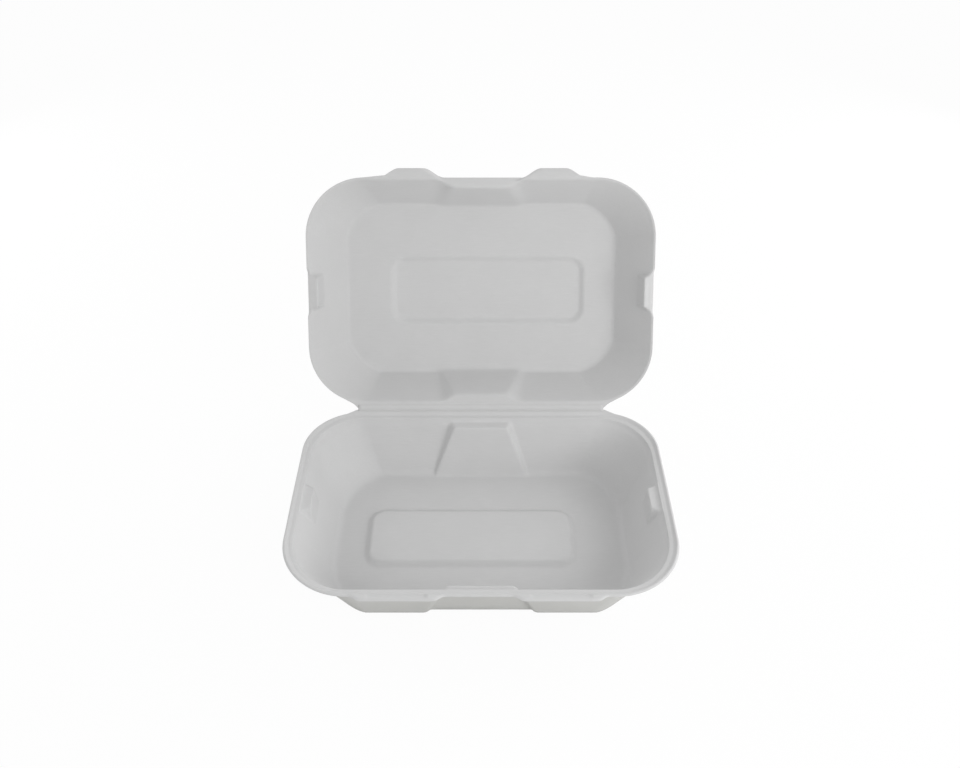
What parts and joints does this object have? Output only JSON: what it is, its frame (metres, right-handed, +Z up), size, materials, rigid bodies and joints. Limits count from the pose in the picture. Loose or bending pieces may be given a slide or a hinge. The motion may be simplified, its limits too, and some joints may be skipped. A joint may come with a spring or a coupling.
{
  "type": "clamshell food container",
  "caption": "Open moulded-pulp clamshell food container: a tray with leaning, dented walls and a shallower lid on a fold, with lift tabs, ears and nesting lugs.",
  "frame": {"origin": "centre of the base's underside, on the surface it stands on", "axes": "+Z up, +Y from the front edge towards the fold, +X to the right seen from the front; the lid stands open at rest"},
  "size_m": [0.23, 0.241, 0.1861],
  "materials": {
    "pulp": "matte moulded fibre"
  },
  "bodies": {
    "base": {"base_tray": "pulp"},
    "lid": {"lid": "pulp"}
  },
  "joints": [
    {"name": "lid_fold", "type": "hinge", "parent": "base", "child": "lid", "pos_m": [0, 0.079, 0.0406], "axis": [-1, 0, 0], "range_deg": [-115, 65]}
  ]
}
